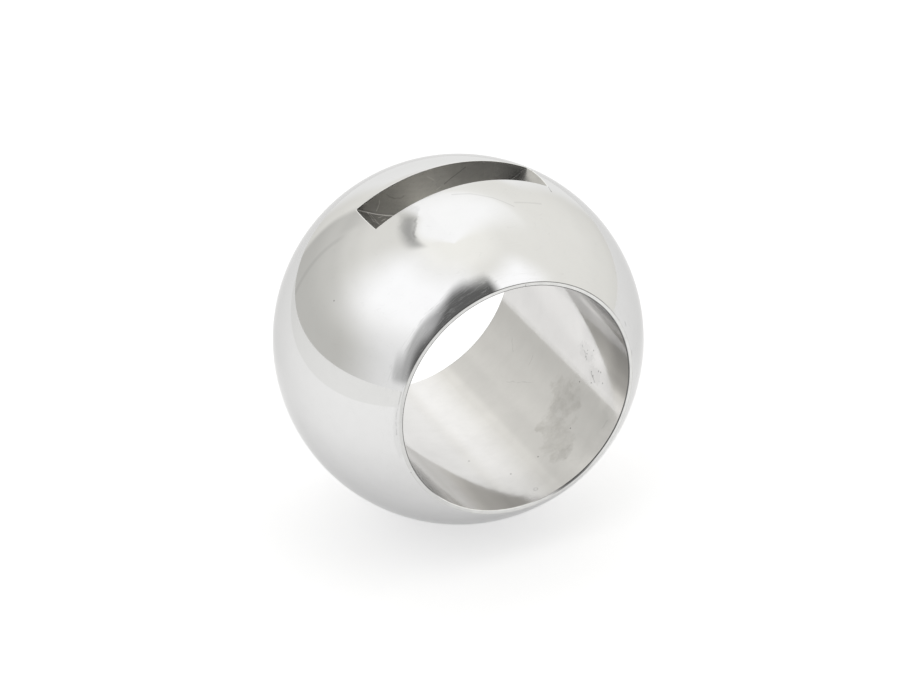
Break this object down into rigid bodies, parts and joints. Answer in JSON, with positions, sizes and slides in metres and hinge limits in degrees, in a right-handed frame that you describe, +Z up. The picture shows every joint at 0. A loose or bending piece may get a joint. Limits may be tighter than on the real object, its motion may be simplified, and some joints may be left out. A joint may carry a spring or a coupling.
{
  "type": "floating valve ball",
  "caption": "Polished steel ball of a full-bore quarter-turn valve, with a straight through bore and a milled stem slot across its top.",
  "frame": {"origin": "centre of the sphere, on the axis of the through bore", "axes": "+Y along the through bore, +Z up through the stem slot, +X along the slot's length"},
  "size_m": [0.0762, 0.0558, 0.0759],
  "materials": {
    "polished_steel": "polished sphere, honed bore and milled slot, with light scuffs"
  },
  "bodies": {
    "root": {"valve_ball": "polished_steel"}
  },
  "joints": []
}
